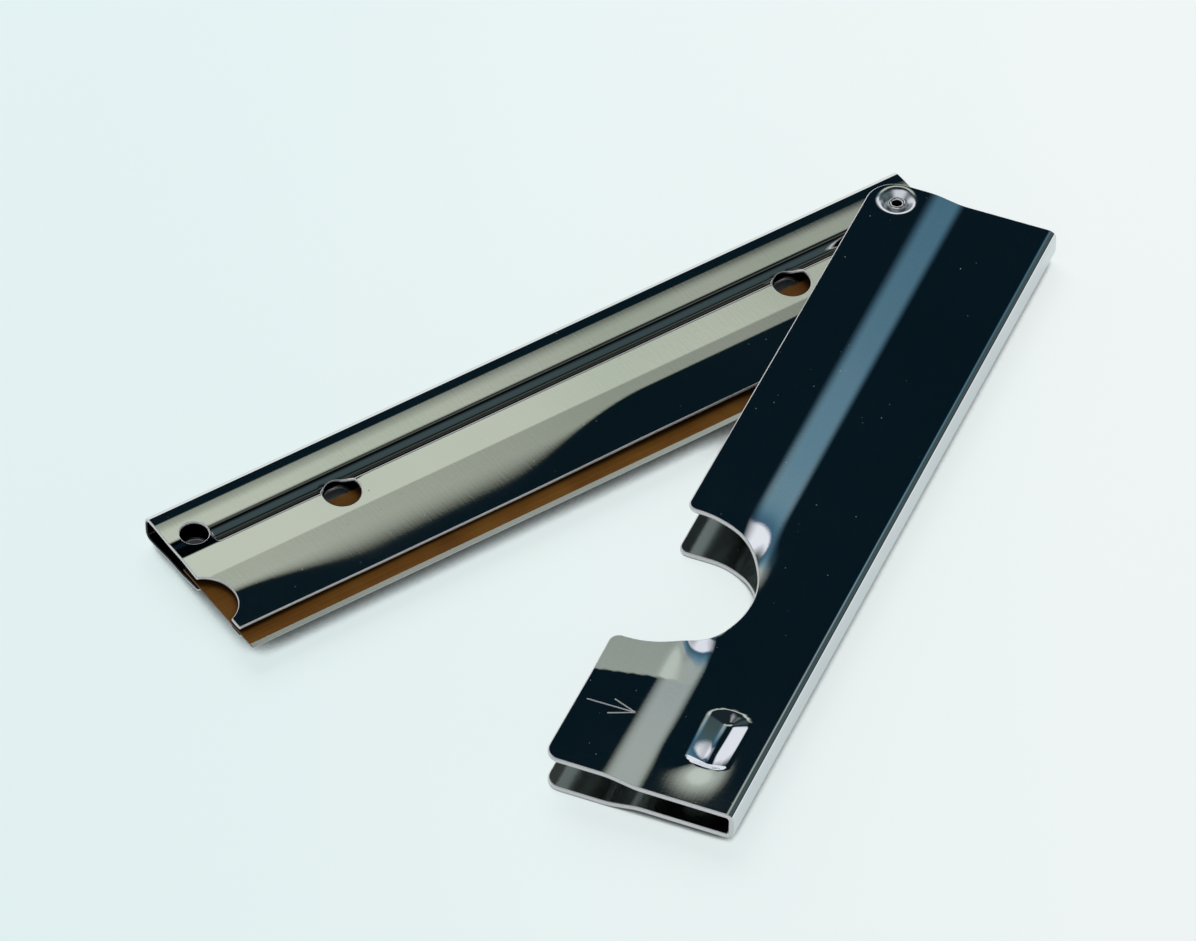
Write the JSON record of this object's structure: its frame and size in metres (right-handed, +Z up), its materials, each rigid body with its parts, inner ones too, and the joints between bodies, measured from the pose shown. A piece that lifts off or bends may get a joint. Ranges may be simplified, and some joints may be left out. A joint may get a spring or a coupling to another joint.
{
  "type": "folding window scraper",
  "caption": "Folding window scraper in plated sheet steel: a long blade in a folded holder swings on a hollow rivet out of a channel cover that is both guard and handle.",
  "frame": {"origin": "middle of the outline in plan, on the plane that the tool lies on", "axes": "+X along the cover from the rivet to its free end, +Y toward the closed spine of the cover, +Z up through the thickness"},
  "size_m": [0.1004, 0.076, 0.0049],
  "materials": {
    "cover_steel": "bright nickel plated sheet steel, near mirror",
    "rivet_steel": "bright plated tube, ends rolled over",
    "holder_steel": "bright nickel plated sheet steel with fine brushed bands",
    "blade_steel": "hardened strip with a brown oil-tempered face and a bright ground edge"
  },
  "bodies": {
    "cover_body": {"cover": "cover_steel", "pivot_rivet": "rivet_steel"},
    "holder_body": {"blade_holder": "holder_steel"},
    "blade_body": {"blade": "blade_steel"}
  },
  "joints": [
    {"name": "holder_swing", "type": "hinge", "parent": "cover_body", "child": "holder_body", "pos_m": [-0.04465, 0.01969, 0.00245], "axis": [0, 0, -1], "range_deg": [-33.5, 146.5]},
    {"name": "blade_draw", "type": "slide", "parent": "holder_body", "child": "blade_body", "axis": [0.8339, -0.5519, 0], "range_m": [0, 0.1]}
  ]
}
